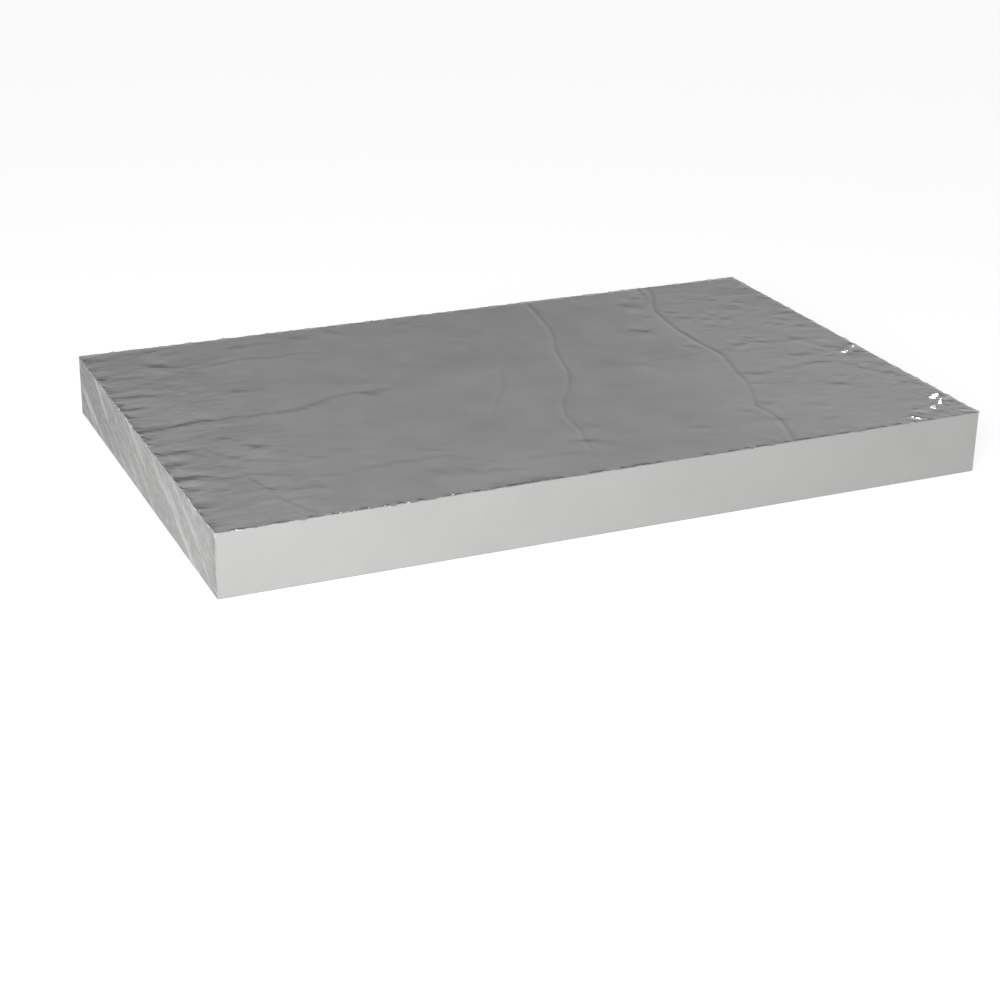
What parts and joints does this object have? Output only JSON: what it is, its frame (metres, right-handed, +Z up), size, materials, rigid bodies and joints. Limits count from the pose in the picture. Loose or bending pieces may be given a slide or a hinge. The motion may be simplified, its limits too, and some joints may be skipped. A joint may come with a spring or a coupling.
{
  "type": "foil-faced foam sheet",
  "caption": "Rectangular slab of rigid foam with bare cut edges and a creased aluminium foil facing glued to its upper face, for laying as insulation.",
  "frame": {"origin": "middle of the underside, the face that lies on the floor", "axes": "+X along the length, +Y along the width, +Z up through the thickness to the foil"},
  "size_m": [1.0026, 0.6276, 0.083],
  "materials": {
    "foam": "pale closed-cell foam, wire cut, matt",
    "foil": "rolled foil, bright, wrinkled"
  },
  "bodies": {
    "root": {"foam_sheet": "foam", "foil_facing": "foil"}
  },
  "joints": []
}
